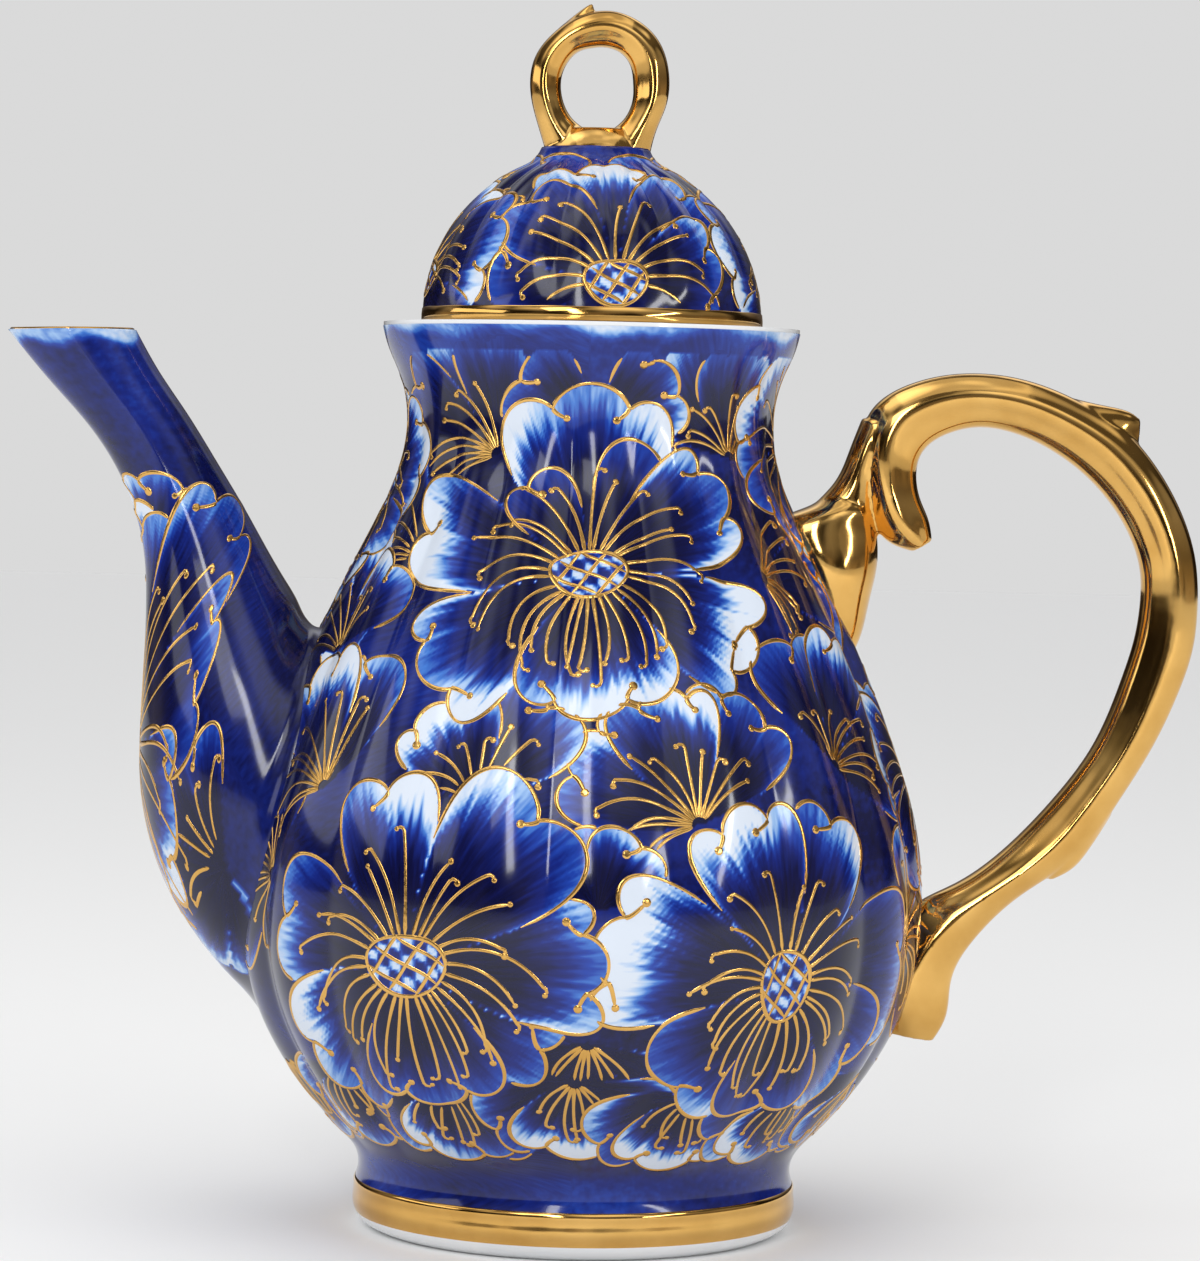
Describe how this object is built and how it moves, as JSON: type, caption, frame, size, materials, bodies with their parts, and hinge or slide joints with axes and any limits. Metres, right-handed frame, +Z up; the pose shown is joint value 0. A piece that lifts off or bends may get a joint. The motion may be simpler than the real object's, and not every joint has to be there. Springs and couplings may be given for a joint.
{
  "type": "teapot",
  "caption": "Tall waisted porcelain teapot with swan-neck spout, scrolled gilt handle and a loose domed lid with a ring finial.",
  "frame": {"origin": "on the pot's axis, in the plane of the foot's resting edge", "axes": "+Z up along the pot's axis, +X towards the handle, -X towards the spout"},
  "size_m": [0.244, 0.137, 0.25],
  "materials": {
    "painted_glaze": "cobalt painting under a clear gloss glaze",
    "clear_glaze": "white porcelain under a clear gloss glaze",
    "gilding": "bright fired gold on the glaze"
  },
  "bodies": {
    "pot": {"pot_base": "painted_glaze", "pot_belly": "painted_glaze", "pot_shoulder": "painted_glaze", "pot_neck": "painted_glaze", "spout_strainer": "clear_glaze", "foot_ring": "clear_glaze", "foot_gilt_band": "gilding", "spout_root": "painted_glaze", "spout_neck": "painted_glaze", "spout_gilt_lip": "gilding", "handle": "gilding"},
    "lid": {"lid_dome": "painted_glaze", "lid_flange": "clear_glaze", "lid_gilt_band": "gilding", "lid_finial": "gilding"}
  },
  "joints": [
    {"name": "lid_lift", "type": "slide", "parent": "pot", "child": "lid", "axis": [0, 0, 1], "range_m": [0, 0.1]}
  ]
}
